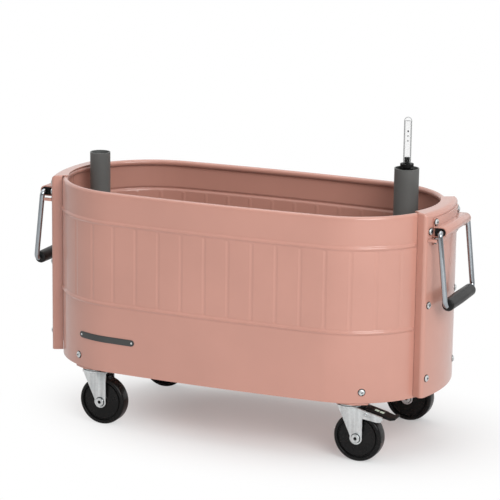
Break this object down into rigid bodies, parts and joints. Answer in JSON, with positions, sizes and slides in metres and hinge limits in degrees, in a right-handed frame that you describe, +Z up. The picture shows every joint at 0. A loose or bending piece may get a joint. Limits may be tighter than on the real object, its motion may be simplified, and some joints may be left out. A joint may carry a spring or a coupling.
{
  "type": "self-watering garden bed",
  "caption": "Bowed oval steel planter tub on swivel casters, with drop handles, a water reservoir, fill tube and float gauge.",
  "frame": {"origin": "middle of the box's base, on the floor that the wheels stand on", "axes": "+X along the tub towards the gauge end, +Y towards the rear long wall, +Z up"},
  "size_m": [0.6994, 0.2942, 0.489],
  "materials": {
    "pink_sheet": "gloss dusty pink powder coat",
    "zinc": "bright zinc plate",
    "chrome": "polished chrome plate",
    "black_plastic": "black moulded plastic",
    "black_grip": "matt black sleeve",
    "wheel_black": "matt black wheel",
    "grey_plastic": "dark grey moulded plastic",
    "clear_plastic": "clear tube"
  },
  "bodies": {
    "tub": {"front_shell": "pink_sheet", "rear_shell": "pink_sheet", "left_end_cover": "pink_sheet", "right_end_cover": "pink_sheet", "base_pan": "pink_sheet", "left_caster_rail": "pink_sheet", "right_caster_rail": "pink_sheet", "shell_screws": "zinc", "end_cover_screws": "zinc", "cover_spacers": "zinc", "bracket_screws": "zinc", "left_handle_bracket": "pink_sheet", "right_handle_bracket": "pink_sheet", "handle_bushes": "black_plastic", "reservoir_tray": "grey_plastic", "soil_platform": "grey_plastic", "left_wick_cup": "grey_plastic", "right_wick_cup": "grey_plastic", "fill_tube": "grey_plastic", "gauge_sleeve": "grey_plastic", "gauge_cap": "black_plastic", "gauge_tube": "clear_plastic", "drain_plug": "black_plastic", "caster_stems": "zinc", "caster_nuts": "zinc", "caster_races": "zinc"},
    "left_handle": {"left_bail": "chrome", "left_grip": "black_grip"},
    "right_handle": {"right_bail": "chrome", "right_grip": "black_grip"},
    "float": {"gauge_float": "black_plastic"},
    "front_left_swivel": {"front_left_fork": "zinc", "front_left_axle": "zinc"},
    "front_left_roller": {"front_left_wheel": "wheel_black"},
    "front_right_swivel": {"front_right_fork": "zinc", "front_right_axle": "zinc"},
    "front_right_roller": {"front_right_wheel": "wheel_black"},
    "front_right_pedal": {"front_right_brake": "black_plastic"},
    "rear_left_swivel": {"rear_left_fork": "zinc", "rear_left_axle": "zinc"},
    "rear_left_roller": {"rear_left_wheel": "wheel_black"},
    "rear_right_swivel": {"rear_right_fork": "zinc", "rear_right_axle": "zinc"},
    "rear_right_roller": {"rear_right_wheel": "wheel_black"},
    "rear_right_pedal": {"rear_right_brake": "black_plastic"}
  },
  "joints": [
    {"name": "front_left_swivel_joint", "type": "hinge", "parent": "tub", "child": "front_left_swivel", "pos_m": [-0.212, -0.112, 0.0858], "axis": [0, 0, 1], "continuous": true},
    {"name": "front_left_wheel_spin", "type": "hinge", "parent": "front_left_swivel", "child": "front_left_roller", "pos_m": [-0.196, -0.112, 0.0375], "axis": [0, 1, 0], "continuous": true},
    {"name": "front_right_swivel_joint", "type": "hinge", "parent": "tub", "child": "front_right_swivel", "pos_m": [0.212, -0.112, 0.0858], "axis": [0, 0, 1], "continuous": true},
    {"name": "front_right_wheel_spin", "type": "hinge", "parent": "front_right_swivel", "child": "front_right_roller", "pos_m": [0.228, -0.112, 0.0375], "axis": [0, 1, 0], "continuous": true},
    {"name": "front_right_brake_press", "type": "hinge", "parent": "front_right_swivel", "child": "front_right_pedal", "pos_m": [0.243, -0.112, 0.0757], "axis": [0, 1, 0], "range_deg": [0, 12]},
    {"name": "rear_left_swivel_joint", "type": "hinge", "parent": "tub", "child": "rear_left_swivel", "pos_m": [-0.212, 0.112, 0.0858], "axis": [0, 0, 1], "continuous": true},
    {"name": "rear_left_wheel_spin", "type": "hinge", "parent": "rear_left_swivel", "child": "rear_left_roller", "pos_m": [-0.196, 0.112, 0.0375], "axis": [0, 1, 0], "continuous": true},
    {"name": "rear_right_swivel_joint", "type": "hinge", "parent": "tub", "child": "rear_right_swivel", "pos_m": [0.212, 0.112, 0.0858], "axis": [0, 0, 1], "continuous": true},
    {"name": "rear_right_wheel_spin", "type": "hinge", "parent": "rear_right_swivel", "child": "rear_right_roller", "pos_m": [0.228, 0.112, 0.0375], "axis": [0, 1, 0], "continuous": true},
    {"name": "rear_right_brake_press", "type": "hinge", "parent": "rear_right_swivel", "child": "rear_right_pedal", "pos_m": [0.243, 0.112, 0.0757], "axis": [0, 1, 0], "range_deg": [0, 12]},
    {"name": "right_handle_lift", "type": "hinge", "parent": "tub", "child": "right_handle", "pos_m": [0.328, 0, 0.346], "axis": [0, -1, 0], "range_deg": [0, 195]},
    {"name": "left_handle_lift", "type": "hinge", "parent": "tub", "child": "left_handle", "pos_m": [-0.328, 0, 0.346], "axis": [0, 1, 0], "range_deg": [0, 195]},
    {"name": "float_rise", "type": "slide", "parent": "tub", "child": "float", "axis": [0, 0, 1], "range_m": [0, 0.055]}
  ]
}
